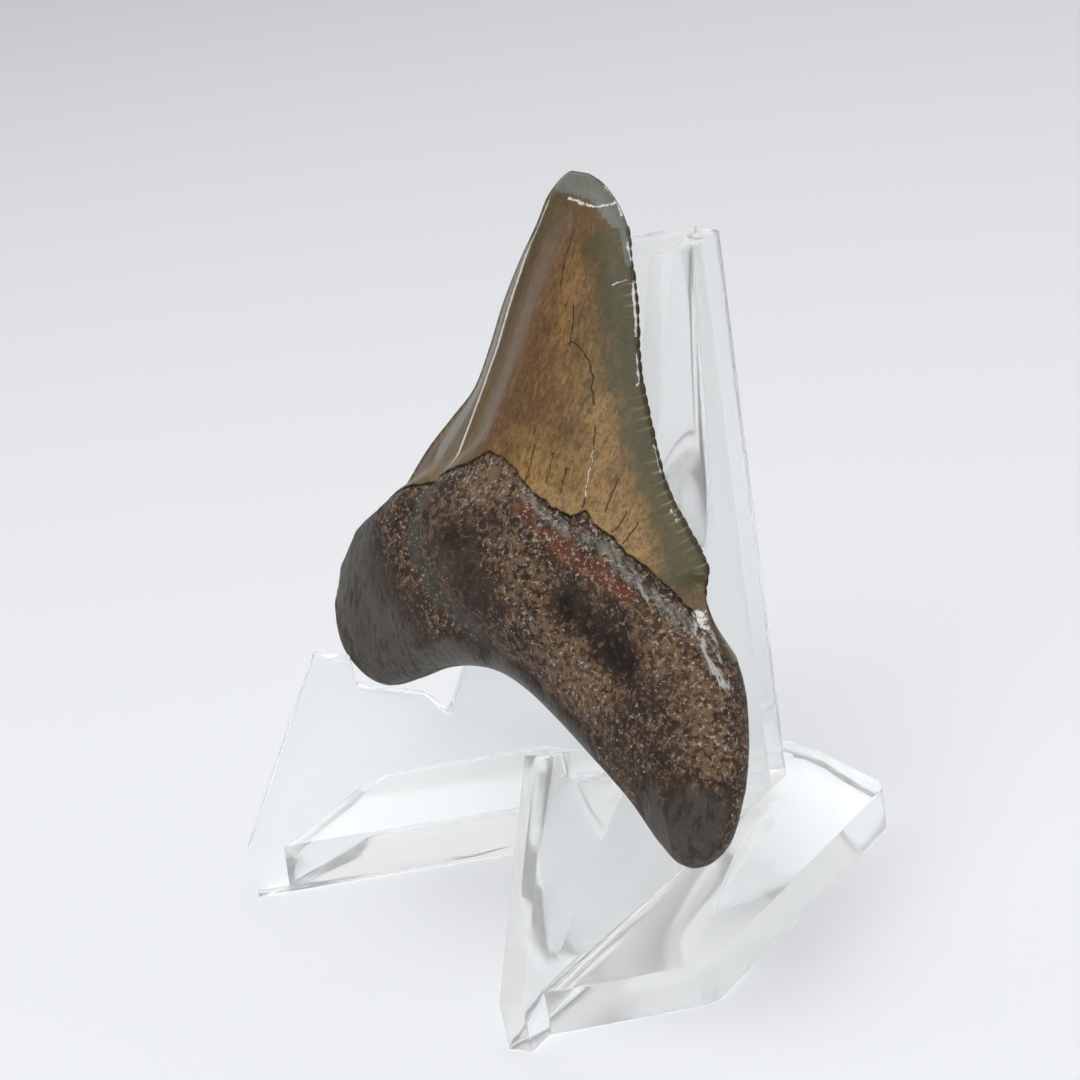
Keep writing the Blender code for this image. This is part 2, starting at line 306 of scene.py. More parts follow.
def path_distance(points: np.ndarray, path: Path | np.ndarray) -> np.ndarray:
    """Measures how far plan points are from a path.

    Args:
        points: Plan points, one row each.
        path: Corners of the path.

    Returns:
        Distance of each point.
    """
    corners = np.asarray(path)
    best = np.full(len(points), 1e9)
    for start, end in zip(corners, corners[1:]):
        run = end - start
        t = np.clip((points - start) @ run / max(run @ run, 1e-12), 0.0, 1.0)
        best = np.minimum(best, np.linalg.norm(points - start - t[:, None] * run, axis=1))
    return best


def ragged_path(path: Path, step: float) -> np.ndarray:
    """Reads a path at even steps and lets it wander a little, as a natural crack does.

    Args:
        path: Corners of the path.
        step: Distance between the points.

    Returns:
        The path's points, one row each.
    """
    points = []
    for start, end in zip(np.array(path), np.array(path)[1:]):
        count = max(1, round(float(np.hypot(*(end - start))) / step))
        points += [start + (end - start) * k / count for k in range(count)]
    points.append(np.array(path[-1]))
    return np.array([p + [CRACK_SWAY * noise.noise((*(p * CRACK_TURNS), layer))
                          for layer in (2.0, 9.0)] for p in points])


def enamel_height(u: np.ndarray, edge: Path) -> np.ndarray:
    """Gives the height of the enamel's lower edge, with its small natural wander."""
    wander = [EDGE_SWAY * noise.fractal((x * EDGE_TURNS, 4.0, 0.0), 0.9, 2.2, 3)
              for x in u.tolist()]
    return np.interp(u, *np.array(edge).T) + np.array(wander)


def left_of(ahead: np.ndarray) -> np.ndarray:
    """Gives the unit direction to the left of each direction along a line."""
    ahead = ahead / np.linalg.norm(ahead, axis=1)[:, None]
    return np.stack((-ahead[:, 1], ahead[:, 0]), axis=1)


def new_material(name: str, values: dict[str, Any]) -> tuple[Material, Node]:
    """Makes a material, with what is the same all over it on the shader's own sockets.

    Args:
        name: Name of the material.
        values: Socket names with their values.

    Returns:
        The material and its shader.
    """
    material = bpy.data.materials.new(name)
    material.use_nodes = True
    shader = material.node_tree.nodes["Principled BSDF"]
    for socket, value in values.items():
        shader.inputs[socket].default_value = value
    return material, shader


def plain_mesh(name: str, points: np.ndarray, faces: list[tuple[int, ...]]) -> Mesh:
    """Makes a smooth-shaded mesh with its normals outward.

    Args:
        name: Name of the mesh.
        points: Points in metres, one row each.
        faces: Numbers of each face's points.

    Returns:
        The mesh.
    """
    mesh = bpy.data.meshes.new(name)
    mesh.from_pydata(points.tolist(), [], faces)
    work = bmesh.new()
    work.from_mesh(mesh)
    bmesh.ops.recalc_face_normals(work, faces=work.faces)
    work.to_mesh(mesh)
    work.free()
    mesh.shade_smooth()
    return mesh


def add_object(name: str, data: ID) -> Object:
    """Puts a mesh, a light or a camera in the scene at the origin.

    Args:
        name: Name of the object.
        data: What it shows.

    Returns:
        The object.
    """
    obj = bpy.data.objects.new(name, data)
    bpy.context.scene.collection.objects.link(obj)
    return obj


def baked_mesh(obj: Object) -> Mesh:
    """Turns an object's modifiers into its plain mesh and removes them.

    Args:
        obj: The object.

    Returns:
        Its new mesh.
    """
    graph = bpy.context.evaluated_depsgraph_get()
    mesh = bpy.data.meshes.new_from_object(obj.evaluated_get(graph))
    obj.modifiers.clear()
    obj.data = mesh
    return mesh


@dataclass(frozen=True)
class ToothFrame:
    """Where the tooth's own frame stands: it leans back on the fronts of the easel's posts."""

    half_angle: float = math.radians(27.0)
    apex_forward: float = 3.0
    notch: Pair = (24.3, 12.3)
    post_top: Pair = (7.6, 48.0)
    turn: float = math.radians(5.0)
    turn_point: float = 11.0

    def post_point(self, pair: Pair) -> Vector:
        """Gives the point on the middle plane at a post's depth and height, in millimetres."""
        return Vector((0.0, -pair[0] * math.cos(self.half_angle) - self.apex_forward, pair[1]))

    def axes(self) -> tuple[np.ndarray, np.ndarray]:
        """Works out how the frame stands on the posts.

        Returns:
            Its foot in millimetres, and its width, height and front directions as rows.
        """
        foot = self.post_point(self.notch)
        height = (self.post_point(self.post_top) - foot).normalized()
        straight = Vector((1.0, 0.0, 0.0))
        width = straight * math.cos(self.turn) - straight.cross(height) * math.sin(self.turn)
        foot += (straight - width) * self.turn_point
        return np.array(foot), np.array([width, height, width.cross(height)])

    def to_world(self, plan: np.ndarray) -> np.ndarray:
        """Takes millimetres in the tooth's frame to metres in the scene."""
        foot, rows = self.axes()
        return (foot + plan @ rows) * MM

    def to_plan(self, world: np.ndarray) -> np.ndarray:
        """Takes metres in the scene to millimetres in the tooth's frame."""
        foot, rows = self.axes()
        return (world / MM - foot) @ rows.T


@dataclass
class FossilTooth:
    """The tooth: smooth enamel crown, worn tip, and a rough root with two lobes."""

    frame: ToothFrame
    outline_step: float = 0.24
    spacing: float = 0.26
    rings: tuple[float, ...] = (0.05, 0.14, 0.28, 0.48)
    fine_step: float = 0.13
    fine_rows: tuple[float, ...] = (-0.16, -0.06, 0.0, 0.06, 0.16)
    # How near the mesh's points may come: a ring to the outline as a share of its inset, the
    # even field to a fine line, and a fine line to the innermost ring
    ring_share: float = 0.93
    line_gap: float = 0.06
    rim_gap: float = 0.1
    box_margin: float = 0.03
    contact_gap: float = 0.3
    crown_edge: float = 2.1
    root_edge: float = 3.4
    # The crown: where it begins, how tall it is, its bulge and half width there and at the tip
    crown_foot: float = 20.0
    crown_height: float = 24.0
    crown_bulge: float = 6.6
    tip_bulge: float = 1.7
    crown_half: float = 13.5
    tip_half: float = 4.0
    dome: float = 0.8
    crown_round: float = 1.5
    neck_band: Pair = (-2.5, 2.0)
    # The root: its bulge in the middle, where that is and how far it spreads, and at the lobes
    root_front: float = 9.4
    bulge_place: Pair = (-1.0, 14.5)
    bulge_spread: Pair = (12.0, 7.0)
    lobe_front: float = 6.2
    root_round: float = 6.5
    left_round: float = 5.8
    back_round: float = 2.6
    back_slant: float = 4.5
    front_share: float = 0.88
    crest_reach: float = 7.5
    crease_round: float = 0.12
    # Corners of the outline that the two cutting edges run between
    right_edge: tuple[int, int] = (1, 14)
    left_edge: tuple[int, int] = (33, 42)
    # Heights and reaches of the relief: the root's grain, pits and lumps, the step below the
    # enamel, the enamel's long ripples, and what the back has of it
    relief_start: float = 1.6
    grain: float = 0.11
    pit: float = 0.16
    lump: float = 0.22
    step: Pair = (0.2, 1.5)
    ripple: float = 0.03
    back_grain: Pair = (0.12, 0.09)
    back_lump: Pair = (0.3, 0.3)
    back_limit: float = 1.2

    def outline(self) -> np.ndarray:
        """Draws the closed outline as a smooth curve read at even steps.

        Returns:
            Its points, clockwise, one row each.
        """
        corners = np.array(OUTLINE)
        count = len(corners)
        loop = []
        for i in range(count):
            a, b, c, d = (corners[(i + k) % count] for k in (-1, 0, 1, 2))
            pieces = max(1, round(np.hypot(*(c - b)) / self.outline_step))
            for t in np.arange(pieces) / pieces:
                curve = 2 * b + (c - a) * t + (2 * a - 5 * b + 4 * c - d) * t ** 2
                loop.append((curve + (3 * b - a - 3 * c + d) * t ** 3) * 0.5)
        # The curve keeps within the corners' reach, so the piece stays inside the solid's box
        low, high = corners.min(axis=0) + self.box_margin, corners.max(axis=0) - self.box_margin
        return np.clip(np.array(loop), low, high)

    def edge_field(self, points: np.ndarray, loop: np.ndarray) -> tuple[np.ndarray, np.ndarray]:
        """Measures each point against the outline.

        Args:
            points: Plan points, one row each.
            loop: The closed outline.

        Returns:
            Distance inside the outline, below zero outside it, and the distance along the
            outline to the nearest place.
        """
        starts, runs = loop, np.roll(loop, -1, axis=0) - loop
        lengths = np.hypot(runs[:, 0], runs[:, 1])
        before = np.concatenate(([0.0], np.cumsum(lengths)[:-1]))
        inside, along = [], []
        for block in np.array_split(points, max(1, len(points) // BLOCK)):
            rel = block[:, None, :] - starts[None]
            t = np.clip((rel * runs).sum(2) / lengths ** 2, 0.0, 1.0)
            size = np.linalg.norm(rel - t[..., None] * runs, axis=2)
            best = size.argmin(axis=1)
            rows = np.arange(len(block))
            ends = starts + runs
            spans = (starts[:, 1] > block[:, 1:2]) != (ends[:, 1] > block[:, 1:2])
            slope = runs[:, 0] / np.where(runs[:, 1] == 0, 1e-12, runs[:, 1])
            cross = starts[:, 0] + rel[..., 1] * slope
            odd = (spans & (block[:, 0:1] < cross)).sum(axis=1) % 2 == 1
            inside.append(np.where(odd, 1, -1) * size[rows, best])
            along.append(before[best] + t[rows, best] * lengths[best])
        return np.concatenate(inside), np.concatenate(along)

    def plan_points(self, loop: np.ndarray) -> np.ndarray:
        """Fills the outline with rows that follow it and an even field of triangles.

        Args:
            loop: The closed outline.

        Returns:
            The points inside it, one row each.
        """
        outward = left_of(np.roll(loop, -1, axis=0) - np.roll(loop, 1, axis=0))
        points = []
        for inset in self.rings:
            ring = loop - outward * inset
            points.append(ring[self.edge_field(ring, loop)[0] > inset * self.ring_share])
        row_gap = self.spacing * math.sqrt(3) / 2
        low, high = loop.min(axis=0), loop.max(axis=0)
        rows = np.arange(low[1], high[1], row_gap)
        columns = np.arange(low[0], high[0], self.spacing)
        grid_u, grid_v = np.meshgrid(columns, rows)
        grid_u[::2] += self.spacing / 2
        grid = np.stack((grid_u.ravel(), grid_v.ravel()), axis=1)
        grid = grid[self.edge_field(grid, loop)[0] > self.rings[-1] + 0.5 * self.spacing]
        for line in self.fine_lines():
            grid = grid[path_distance(grid, line) > self.fine_rows[-1] + self.line_gap]
            aside = left_of(np.gradient(line, axis=0))
            rows = np.concatenate([line + aside * gap for gap in self.fine_rows])
            points.append(rows[self.edge_field(rows, loop)[0] > self.rings[-1] + self.rim_gap])
        points.append(grid)
        return np.concatenate(points)

    def crack_line(self, path: Path) -> np.ndarray:
        """Gives a crack's wandering line."""
        return ragged_path(path, self.fine_step)

    def fine_lines(self) -> list[np.ndarray]:
        """Lists the lines that the mesh follows closely.

        Returns:
            The enamel's edge, the crease and the cracks, one row a point.
        """
        across = np.arange(FRONT_EDGE[0][0], FRONT_EDGE[-1][0], self.fine_step)
        edge = np.stack((across, enamel_height(across, FRONT_EDGE)), axis=1)
        crest = np.array(CREST)
        rows = np.arange(crest[0, 1], crest[-1, 1], self.fine_step * 2)
        crease = np.stack((np.interp(rows, crest[:, 1], crest[:, 0]), rows), axis=1)
        return [edge, crease] + [self.crack_line(path) for path in CRACKS + FILLED_CRACKS[:1]]

    def crown_rise(self, plan: np.ndarray) -> np.ndarray:
        """Shapes the crown: a broad front that meets a flat left flank in a crease.

        Args:
            plan: Plan points.

        Returns:
            Rise of the front above the cutting edge.
        """
        u, v = plan[:, 0], plan[:, 1]
        loop = self.outline()
        sides = [self.outline_part(loop, *span) for span in (self.right_edge, self.left_edge)]
        right, left = (path_distance(plan, side[::3]) for side in sides)
        rise = np.clip((v - self.crown_foot) / self.crown_height, 0.0, 1.0)
        full = self.crown_bulge + (self.tip_bulge - self.crown_bulge) * rise
        half = self.crown_half - (self.crown_half - self.tip_half) * rise
        part = np.clip(right / half, 0.0, 1.0)
        bulge = full * part * (1 + self.dome - self.dome * part) * self.front_share
        crest_u, crest_v, crest_rise = np.array(CREST).T
        slope = crest_rise / path_distance(np.stack((crest_u, crest_v), axis=1), sides[1][::3])
        past = smooth_step(0.0, self.crest_reach, u - np.interp(v, crest_v, crest_u))
        at_crest = np.interp(v, crest_v, crest_rise)
        front = at_crest + (bulge - at_crest) * past
        flank = np.interp(v, crest_v, slope) * left
        lower = (front + flank - np.hypot(front - flank, self.crease_round)) / 2
        return lower + self.crease_round / 2

    def outline_part(self, loop: np.ndarray, low: int, high: int) -> np.ndarray:
        """Gives the outline's points between two of its corners."""
        first, last = (int(np.linalg.norm(loop - OUTLINE[i], axis=1).argmin()) for i in (low, high))
        return loop[first:last + 1]

    def broad_depths(self, plan: np.ndarray, inside: np.ndarray) -> tuple[np.ndarray, np.ndarray]:
        """Shapes the solid's main form, with the crease that only the visual model has.

        Args:
            plan: Plan points.
            inside: Distance inside the outline.

        Returns:
            How far out of the plane the front and the back are.
        """
        u, v = plan[:, 0], plan[:, 1]
        edge_u, edge_v = np.array(BROAD_EDGE).T
        slot = np.clip(np.searchsorted(edge_u, u) - 1, 0, len(edge_u) - 2)
        share = smooth_step(0.0, 1.0, (u - edge_u[slot]) / (edge_u[slot + 1] - edge_u[slot]))
        enamel = edge_v[slot] + (edge_v[slot + 1] - edge_v[slot]) * share
        root = 1.0 - smooth_step(*self.neck_band, v - enamel)
        edge = self.crown_edge + (self.root_edge - self.crown_edge) * root
        part = np.clip(inside / self.crown_round, 0.0, 1.0)
        crown = self.crown_rise(plan) * part * (2.0 - part)
        off_u, off_v = (plan - self.bulge_place).T / np.array(self.bulge_spread)[:, None]
        middle = np.exp(-off_u ** 2 - off_v ** 2)
        bulk = self.lobe_front + (self.root_front - self.lobe_front) * middle
        lobe = smooth_step(6.0, 14.0, -u) * (1.0 - smooth_step(8.0, 16.0, v))
        fall = self.root_round + (self.left_round - self.root_round) * lobe
        front_t = 1.0 - np.clip(inside / fall, 0.0, 1.0)
        back_t = 1.0 - np.clip(inside / self.back_round, 0.0, 1.0)
        flat_t = 1.0 - np.clip(inside / self.back_slant, 0.0, 1.0)
        fullness = np.sqrt(1 - back_t ** 2) * root + (1 - flat_t ** 1.4) * (1 - root)
        front = edge + crown * (1 - root) + (bulk - edge) * np.sqrt(1 - front_t ** 2) * root
        return front, edge - (edge - self.contact_gap) * fullness

    def lumps(self, plan: np.ndarray, pitch: float, seed: float, octaves: int = 4) -> np.ndarray:
        """Gives uneven lumps about a pitch apart, from about -1 to 1."""
        return np.array([noise.fractal((u / pitch, v / pitch, seed), 0.9, 2.1, octaves)
                         for u, v in plan.tolist()])

    def pits(self, plan: np.ndarray, pitch: float, seed: float) -> np.ndarray:
        """Gives rounded pits about a pitch apart, 1 in the middle of each."""
        near = [noise.voronoi((u / pitch, v / pitch, seed))[0][0] for u, v in plan.tolist()]
        return np.clip(1.0 - 2.2 * np.array(near), 0.0, 1.0)

    def front_relief(self, plan: np.ndarray, inside: np.ndarray) -> np.ndarray:
        """Adds the enamel's step, the root's grain and its hollows to the front.

        Args:
            plan: Plan points.
            inside: Distance inside the outline.

        Returns:
            How far to move each point out of the front.
        """
        above = plan[:, 1] - enamel_height(plan[:, 0], FRONT_EDGE)
        root = 1.0 - smooth_step(-0.1, 0.1, above)
        away = smooth_step(0.0, self.relief_start, inside)
        smooth = stain_and_painted_light_values(plan)[StainOrPaintedLight.SMOOTH]
        rough = root * away * (1.0 - 0.75 * np.clip(smooth, 0, 1))
        relief = rough * (self.grain * self.lumps(plan, 0.8, 3.1)
                          - self.pit * self.pits(plan, 1.3, 5.0))
        relief += root * away * self.lump * self.lumps(plan, 3.6, 7.7, 3)
        relief -= root * self.step[0] * np.exp(-(above / self.step[1]) ** 2) * away
        relief += (1 - root) * away * self.ripple * self.lumps(plan * (3.0, 0.35), 2.0, 1.3, 2)
        for depth, spread, path in GROOVES:
            relief -= depth * np.exp(-(path_distance(plan, path) / spread) ** 2) * away
        return relief

    def back_relief(self, plan: np.ndarray, inside: np.ndarray) -> np.ndarray:
        """Adds the same kind of step and grain to the back, which only goes inwards.

        Args:
            plan: Plan points.
            inside: Distance inside the outline.

        Returns:
            How far to move each point into the tooth.
        """
        above = plan[:, 1] - enamel_height(plan[:, 0], BACK_EDGE)
        root = 1.0 - smooth_step(-0.3, 0.3, above)
        away = smooth_step(0.0, self.relief_start, inside)
        relief = np.zeros(len(plan))
        for (mean, height), lumps in ((self.back_grain, self.lumps(plan, 0.9, 13.1)),
                                      (self.back_lump, self.lumps(plan, 4.2, 17.7, 3))):
            relief += root * away * (mean + height * lumps)
        return np.clip(relief, 0.0, self.back_limit)

    def build(self) -> Object:
        """Builds the tooth as one closed mesh.

        Returns:
            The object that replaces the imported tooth.
        """
        loop = self.outline()
        count = len(loop)
        plan = np.concatenate((loop, self.plan_points(loop)))
        edges = [(i, (i + 1) % count) for i in range(count)]
        flat, _, faces, *_ = geometry.delaunay_2d_cdt([Vector(p) for p in plan], edges, [], 1, 1e-5)
        plan = np.array([tuple(p) for p in flat])
        inside, _ = self.edge_field(plan, loop)
        inside[:count] = 0.0
        front, back = self.broad_depths(plan, inside)
        front = front + self.front_relief(plan, inside)
        back = back + self.back_relief(plan, inside)
        middle = len(plan)
        fronts = np.column_stack((plan, front))
        backs = np.column_stack((plan, back))[count:]
        under = [i if i < count else middle + i - count for i in range(middle)]
        sheets = [tuple(face) for face in faces]
        sheets += [tuple(under[i] for i in reversed(face)) for face in faces]
        points = self.frame.to_world(np.concatenate((fronts, backs)))
        return add_object("tooth_crown_and_root", plain_mesh("tooth", points, sheets))

    def rim_curve(self, low: int, high: int, inset: float) -> np.ndarray:
        """Gives a line just inside the outline from one of its corners to another.

        Args:
            low: Number of the first corner.
            high: Number of the last corner.
            inset: How far inside the outline the line runs.

        Returns:
            Points in the scene, in metres.
        """
        part = self.outline_part(self.outline(), low, high)
        line = (part - left_of(np.gradient(part, axis=0)) * inset)[::3]
        return self.frame.to_world(np.column_stack((line, np.full(len(line), self.crown_edge))))


def stain_and_painted_light_values(plan: np.ndarray) -> dict[StainOrPaintedLight, np.ndarray]:
    """Gives how strong each kind of patch is at plan points.

    Args:
        plan: Plan points.

    Returns:
        Values from 0 to about 1, by kind.
    """
    values = {stain: np.zeros(len(plan)) for stain in StainOrPaintedLight}
    for stain, patches in PATCHES.items():
        for width, strength, path in patches:
            soft = strength * (1.0 - smooth_step(0.1, 1.0, path_distance(plan, path) / width))
            values[stain] = np.maximum(values[stain], soft)
    return values


@dataclass
class SurfaceFields:
    """What the fossil's material reads at each point of a mesh."""

    tooth: FossilTooth
    # Stains that go through to the back, and how strong they are there
    through: dict[StainOrPaintedLight, float] = field(default_factory=lambda: {
        StainOrPaintedLight.WARM: 0.8, StainOrPaintedLight.GOLD: 0.6, StainOrPaintedLight.GREEN: 0.9, StainOrPaintedLight.CHIPPED: 1.0})

    def write(self, mesh: Mesh) -> None:
        """Writes the fields as attributes.

        Args:
            mesh: A mesh that stands where the tooth does.
        """
        world = np.empty(len(mesh.vertices) * 3)
        mesh.vertices.foreach_get("co", world)
        plan = self.tooth.frame.to_plan(world.reshape(-1, 3))
        flat = plan[:, :2]
        loop = self.tooth.outline()
        inside, along = self.tooth.edge_field(flat, loop)
        front, back = self.tooth.broad_depths(flat, np.maximum(inside, 0.0))
        facing = smooth_step(0.25, 0.75, (plan[:, 2] - back + 0.01) / (front - back + 0.02))
        edges = [flat[:, 1] - enamel_height(flat[:, 0], edge) for edge in (BACK_EDGE, FRONT_EDGE)]
        fields = {"above_edge": edges[0] * (1 - facing) + edges[1] * facing,
                  "rim": inside, "along": along}
        for name, paths in (("crack", CRACKS), ("filled", FILLED_CRACKS)):
            gaps = [path_distance(flat, self.tooth.crack_line(path)) for path in paths]
            fields[name] = np.min(gaps, axis=0)
        for stain, value in stain_and_painted_light_values(flat).items():
            fields[stain.value] = value * np.maximum(facing, self.through.get(stain, 0.0))
        for name, value in fields.items():
            mesh.attributes.new(name, "FLOAT", "POINT").data.foreach_set("value", value)
        place = mesh.attributes.new("plan", "FLOAT_VECTOR", "POINT")
        place.data.foreach_set("vector", plan.ravel())


@dataclass
class Serrations:
    """Small scallops along the right cutting edge, made by Geometry Nodes.

    The left edge is worn smooth. Sizes are in millimetres.
    """

    tooth: FossilTooth
    corners: tuple[int, int] = (3, 11)
    pitch: float = 0.86
    length: float = 0.98
    reach: float = 0.3
    thickness: float = 0.34
    spread: float = 0.2
    inset: float = 0.11
    seed: int = 7

    def build(self, name: str) -> Object:
        """Builds the row of scallops as one mesh.

        Args:
            name: Name of the piece.

        Returns:
            The new object.
        """
        points = self.tooth.rim_curve(*self.corners, self.inset)
        mesh = bpy.data.meshes.new(name)
        mesh.from_pydata(points.tolist(), [(i, i + 1) for i in range(len(points) - 1)], [])
        obj = add_object(name, mesh)
        modifier = obj.modifiers.new("scallops", "NODES")
        modifier.node_group = self.tree()
        _, rows = self.tooth.frame.axes()
        values = {"Pitch": self.pitch * MM, "Length": self.length * MM, "Reach": self.reach * MM,
                  "Thickness": self.thickness * MM, "Spread": self.spread, "Front": tuple(rows[2])}
        for item in modifier.node_group.interface.items_tree:
            if item.item_type == "SOCKET" and item.name in values:
                modifier[item.identifier] = values[item.name]
        baked_mesh(obj).shade_smooth()
        return obj

    def tree(self) -> NodeTree:
        """Builds the node tree that strings scallops along a line.

        Returns:
            A geometry node group with its sizes as inputs.
        """
        tree = bpy.data.node_groups.new("scallops_along_edge", "GeometryNodeTree")
        add = partial(add_node, tree)
        face = tree.interface
        face.new_socket("Geometry", in_out="INPUT", socket_type="NodeSocketGeometry")
        for name in ("Pitch", "Length", "Reach", "Thickness", "Spread"):
            face.new_socket(name, in_out="INPUT", socket_type="NodeSocketFloat")
        face.new_socket("Front", in_out="INPUT", socket_type="NodeSocketVector")
        face.new_socket("Geometry", in_out="OUTPUT", socket_type="NodeSocketGeometry")
        given = add("NodeGroupInput").outputs
        line = add("GeometryNodeMeshToCurve", {0: given["Geometry"]})
        smooth = add("GeometryNodeCurveSplineType", {0: line.outputs[0]}, spline_type="CATMULL_ROM")
        even = add("GeometryNodeResampleCurve",
                   {"Curve": smooth.outputs[0], "Length": given["Pitch"]}, mode="LENGTH")
        tangent = add("GeometryNodeInputTangent")
        turn = add("FunctionNodeAxesToRotation", {0: given["Front"], 1: tangent.outputs[0]},
                   primary_axis="Z", secondary_axis="X")
        ball = add("GeometryNodeMeshUVSphere", {"Segments": 10, "Rings": 6, "Radius": 0.5})
        shaded = add("GeometryNodeSetShadeSmooth", {0: ball.outputs[0]})
        low = add("ShaderNodeMath", {0: 1.0, 1: given["Spread"]}, operation="SUBTRACT")
        high = add("ShaderNodeMath", {0: 1.0, 1: given["Spread"]}, operation="ADD")
        chance = add("FunctionNodeRandomValue",
                     {2: low.outputs[0], 3: high.outputs[0], "Seed": self.seed})
        size = add("ShaderNodeCombineXYZ",
                   {0: given["Length"], 1: given["Reach"], 2: given["Thickness"]})
        scale = add("ShaderNodeVectorMath",
                    {0: size.outputs[0], "Scale": chance.outputs[1]}, operation="SCALE")
        placed = add("GeometryNodeInstanceOnPoints",
                     {"Points": even.outputs[0], "Instance": shaded.outputs[0],
                      "Rotation": turn.outputs[0], "Scale": scale.outputs[0]})
        real = add("GeometryNodeRealizeInstances", {0: placed.outputs[0]})
        coat = add("GeometryNodeSetMaterial",
                   {"Geometry": real.outputs[0],
                    "Material": bpy.data.materials.get(FossilFinish.name)})
        add("NodeGroupOutput", {0: coat.outputs[0]})
        return tree


